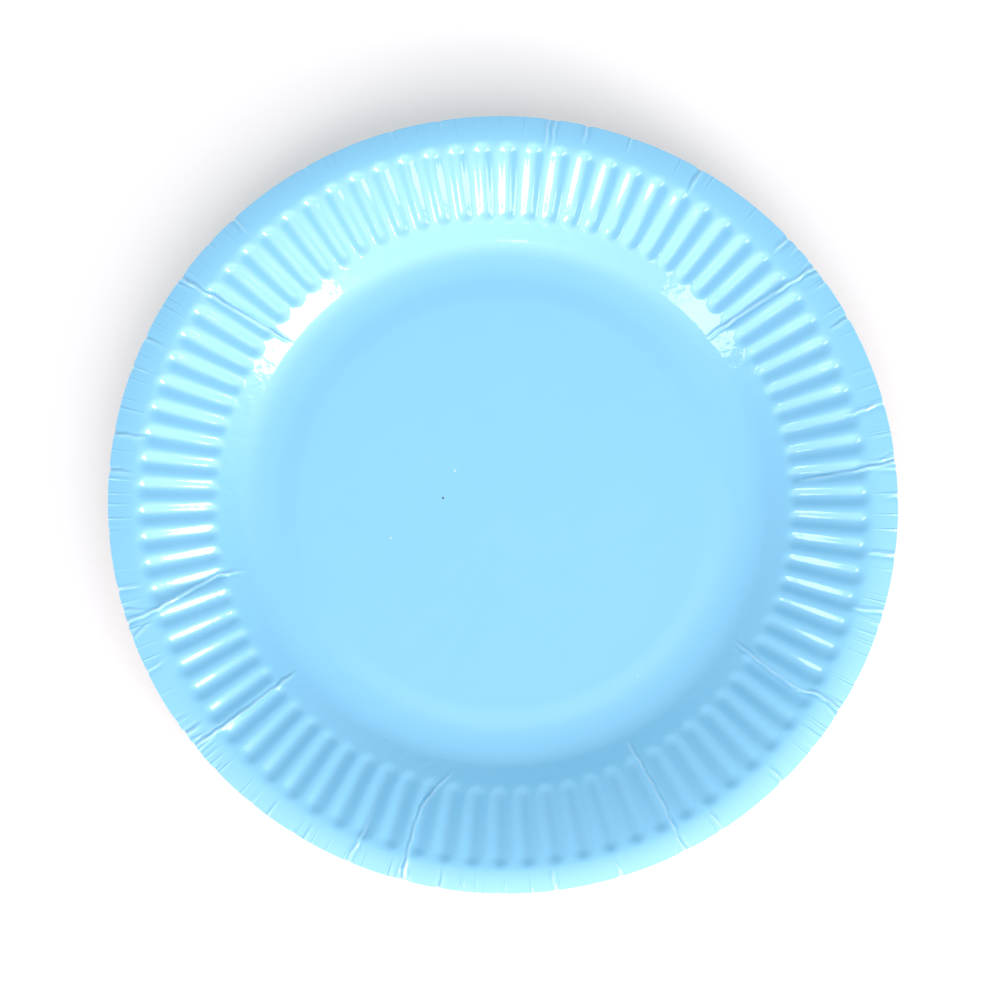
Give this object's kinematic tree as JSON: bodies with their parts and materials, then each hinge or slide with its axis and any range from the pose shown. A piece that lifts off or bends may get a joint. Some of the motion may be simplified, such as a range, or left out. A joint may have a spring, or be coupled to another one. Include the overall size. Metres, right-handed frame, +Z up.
{
  "type": "paper plate",
  "caption": "Round pressed paperboard plate with a raised flat centre, a fluted wall and a domed rim, glossy sky blue on its upper face",
  "frame": {"origin": "centre of the plate on the surface it stands on", "axes": "+Z up, along the axis of the round plate; X and Y are level and equal"},
  "size_m": [0.18, 0.18, 0.0131],
  "materials": {
    "coated_board": "glossy coating"
  },
  "bodies": {
    "root": {"plate": "coated_board"}
  },
  "joints": []
}
